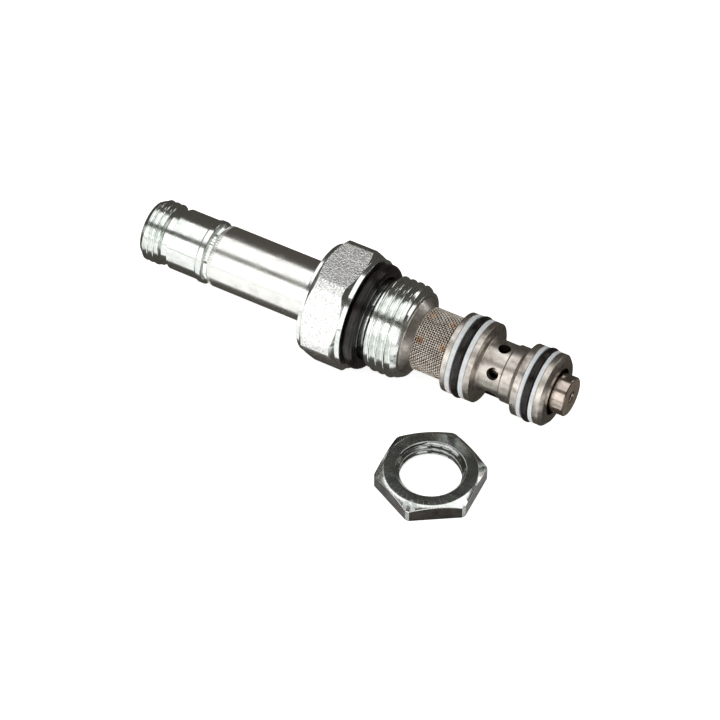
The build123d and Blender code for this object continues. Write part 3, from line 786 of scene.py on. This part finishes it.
def coil_nut():
    """Thin hexagon nut, chamfered on its upper face, with its thread."""
    section = hex_section(NUT_FLAT_R, NUT_CORNER_R, NUT_TURN, 0.2, 9)
    face_r, sink_r, bore_root_r = 8.8, 6.7, 6.35
    chamfer_slope = 0.543
    sink_depth, thread_inset, bore_rows = 0.5, 0.35, 44
    columns = []
    for angle, r in section:
        drop = (r - face_r) * chamfer_slope
        outer = rounded([
            (NUT_THICKNESS - sink_depth, NUT_BORE_R),
            (NUT_THICKNESS, sink_r),
            (NUT_THICKNESS, face_r),
            (NUT_THICKNESS - drop, r),
            (0, r),
            (0, sink_r),
            (sink_depth, NUT_BORE_R),
        ], 0.1)
        bore = []
        for number in range(bore_rows + 1):
            x = thread_inset + (NUT_THICKNESS - 2 * thread_inset) * number / bore_rows
            turn = x / TAIL_PITCH - angle / math.tau
            away = abs(turn - round(turn)) * 2
            rise = min(max((0.8 - away) / 0.6, 0), 1)
            edge = min(x, NUT_THICKNESS - x)
            mouth_r = sink_r - edge
            bore.append((x, max(NUT_BORE_R + (bore_root_r - NUT_BORE_R) * rise, mouth_r)))
        columns.append((angle, outer[1:-1] + bore))
    verts, faces = skin(columns)
    centre = (NUT_LOW + NUT_HIGH) / 2
    verts = [(centre.x + y, centre.y + z, FLOOR_Z + x) for x, y, z in verts]
    obj = finish_mesh(new_mesh("coil_nut", verts, faces), "coil_nut", "coil_nut")
    dress(obj, "nut", "nut_side", "body")
    for face in obj.data.polygons:
        out = math.hypot(face.center.x - centre.x, face.center.y - centre.y) / MM
        # Side faces take the nearly black steel, whose darkness is painted reflection.
        if abs(face.normal.z) < 0.2 and NUT_FLAT_R - 0.1 < out < NUT_CORNER_R - 0.12:
            face.material_index = 1
        elif 0.5 < face.normal.z < 0.97 and out > face_r:
            face.material_index = 2
    return obj


def return_spring():
    """The coil spring, with its end in the pole, built as one fixed helix; its shortening as the armature
    is drawn in isn't modelled.
    """
    first, last = span("return_spring")
    wire_r, turns, per_turn, sides = 0.25, 8, 32, 10
    mean_r = radius("return_spring") - wire_r
    start, end = first + wire_r, last - wire_r
    tilt = math.atan2(end - start, turns * math.tau * mean_r)
    count = turns * per_turn + 1
    verts = []
    for step in range(count):
        share = step / (count - 1)
        angle = share * turns * math.tau - math.pi / 2
        out = Vector((0, math.cos(angle), math.sin(angle)))
        along = Vector((0, -math.sin(angle), math.cos(angle)))
        side = Vector((math.cos(tilt), 0, 0)) - along * math.sin(tilt)
        centre = Vector((start + (end - start) * share, 0, 0)) + out * mean_r
        for number in range(sides):
            turn = number * math.tau / sides
            verts.append((centre + (side * math.cos(turn) + out * math.sin(turn)) * wire_r) * MM)
    mesh = new_mesh("return_spring", verts, wire_faces(0, count, sides, False))
    mesh.shade_smooth()
    obj = dress(stand_in(mesh, "return_spring", "valve_body"), "spring")
    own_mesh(obj)
    return obj


def inner_pieces():
    """The CAD meshes that stay: the pieces inside the valve."""
    finishes = {
        "plug_o_ring": "rubber",
        "tube_o_ring": "rubber",
        "shim_washer": "brass",
        "stop_washer": "brass",
        "rod_retaining_ring": "spring",
        "cross_pin": "spring",
        "armature": "core",
        "pull_rod": "spool",
    }
    for node, finish in finishes.items():
        dress(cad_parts[node], finish)


end_plug()
guide_tube()
hex_body()
o_ring("shoulder_o_ring")
o_ring("upper_o_ring")
o_ring("lower_o_ring")
for side in ("rear", "front"):
    backup_ring("upper_backup_ring_" + side, 6.39)
    backup_ring("lower_backup_ring_" + side, 5.8)
cage()
filter_screen()
spool()
coil_nut()
return_spring()
inner_pieces()


# ------------------------------------------------------------------ floor, light and camera
def table_top(name, left, right, near, far, mirrored):
    """A piece of white table. The part behind the valve isn't mirrored in the metal, as if shaded."""
    mesh = bpy.data.meshes.new(name)
    corners = [(left, near), (right, near), (right, far), (left, far)]
    mesh.from_pydata([(x, y, FLOOR_Z) for x, y in corners], [], [(0, 1, 2, 3)])
    obj = bpy.data.objects.new(name, mesh)
    bpy.context.scene.collection.objects.link(obj)
    obj.visible_glossy = mirrored
    mesh.materials.append(TABLE_WHITE)


def table_white():
    """A white table that glows a little, and more where it is seen directly, so no shadow greys it."""
    n = Nodes("table_white")
    tone = n.noise(n.place, 6.0)
    path = n.add("ShaderNodeLightPath")
    glow = n.grey(path.outputs["Is Camera Ray"], 0.35, 0.72, 0.0, 1.0)
    return n.set(Base_Color=n.ramp(tone, (0.93, 0.93, 0.93), (0.95, 0.95, 0.95)), Roughness=0.6,
                 Emission_Color=(1, 1, 1, 1), Emission_Strength=glow)


TABLE_WHITE = table_white()


def softbox(name, centre, aim, width, height, radiance):
    """A rectangular light of even brightness that lights the valve but isn't seen itself."""
    light = bpy.data.lights.new(name, "AREA")
    light.shape = "RECTANGLE"
    light.size, light.size_y = width, height
    light.energy = radiance * math.pi * width * height
    obj = bpy.data.objects.new(name, light)
    bpy.context.scene.collection.objects.link(obj)
    obj.location = centre
    look = (Vector(aim) - Vector(centre)).normalized()
    across = look.cross(Vector((0, 0, 1))).normalized() if abs(look.z) < 0.99 else Vector((1, 0, 0))
    up = across.cross(look)
    obj.rotation_euler = Matrix((across, up, -look)).transposed().to_euler()
    obj.visible_camera = False


def surroundings():
    """A dim room whose walls look pale where they are seen directly."""
    world = bpy.data.worlds.new("room")
    bpy.context.scene.world = world
    world.use_nodes = True
    tree = world.node_tree
    room = tree.nodes["Background"]
    room.inputs["Color"].default_value = (0.075, 0.068, 0.06, 1)
    wall = tree.nodes.new("ShaderNodeBackground")
    wall.inputs["Color"].default_value = (0.95, 0.95, 0.95, 1)
    path = tree.nodes.new("ShaderNodeLightPath")
    mix = tree.nodes.new("ShaderNodeMixShader")
    tree.links.new(path.outputs["Is Camera Ray"], mix.inputs["Fac"])
    tree.links.new(room.outputs["Background"], mix.inputs[1])
    tree.links.new(wall.outputs["Background"], mix.inputs[2])
    tree.links.new(mix.outputs["Shader"], tree.nodes["World Output"].inputs["Surface"])


def arc_panel(name, first, last, distance, left, right, radiance):
    """A softbox seen from the valve between two angles from straight up, towards the viewer's side."""
    a, b = math.radians(first), math.radians(last)
    middle, half = (a + b) / 2, abs(b - a) / 2
    reach = distance * math.cos(half)
    centre = Vector(((left + right) / 2, -math.sin(middle) * reach, math.cos(middle) * reach))
    aim = Vector((centre.x, 0, 0))
    softbox(name, centre, aim, right - left, 2 * distance * math.sin(half), radiance)


def camera():
    """A long lens from the front right and above, with the valve a little above the middle."""
    azimuth, elevation = math.radians(29), math.radians(47)
    distance, focal_pixels, frame_pixels, sensor_mm = 0.665, 3511, 720, 36
    right_pixels, down_pixels = 3.3, 47.3
    target = Vector((-0.0008, 0, 0))
    back = Vector((math.sin(azimuth) * math.cos(elevation), -math.cos(azimuth) * math.cos(elevation),
                   math.sin(elevation)))
    right = Vector((math.cos(azimuth), math.sin(azimuth), 0))
    up = back.cross(right)
    data = bpy.data.cameras.new("camera")
    data.sensor_width = sensor_mm
    data.lens = focal_pixels / frame_pixels * sensor_mm
    obj = bpy.data.objects.new("camera", data)
    bpy.context.scene.collection.objects.link(obj)
    obj.location = target + back * distance
    look = -back - right * (right_pixels / focal_pixels) - up * (down_pixels / focal_pixels)
    obj.rotation_euler = look.to_track_quat("-Z", "Y").to_euler()
    data.clip_start, data.clip_end = 0.01, 20
    bpy.context.scene.camera = obj


TABLE_REACH, TABLE_SEAM = 1.6, -0.014
table_top("table_front", -TABLE_REACH, TABLE_REACH, -TABLE_REACH, TABLE_SEAM, True)
table_top("table_back", -TABLE_REACH, TABLE_REACH, TABLE_SEAM, TABLE_REACH, False)
surroundings()
arc_panel("overhead_softbox", -31, 23, 0.75, -0.9, 0.55, 1.3)
arc_panel("front_softbox", 41, 87, 0.75, -0.9, 0.55, 1.7)
softbox("back_softbox", (0.40, 0.70, 0.36), (0, 0, 0), 0.34, 0.26, 2.2)
camera()
bpy.context.scene.view_settings.view_transform = "Standard"
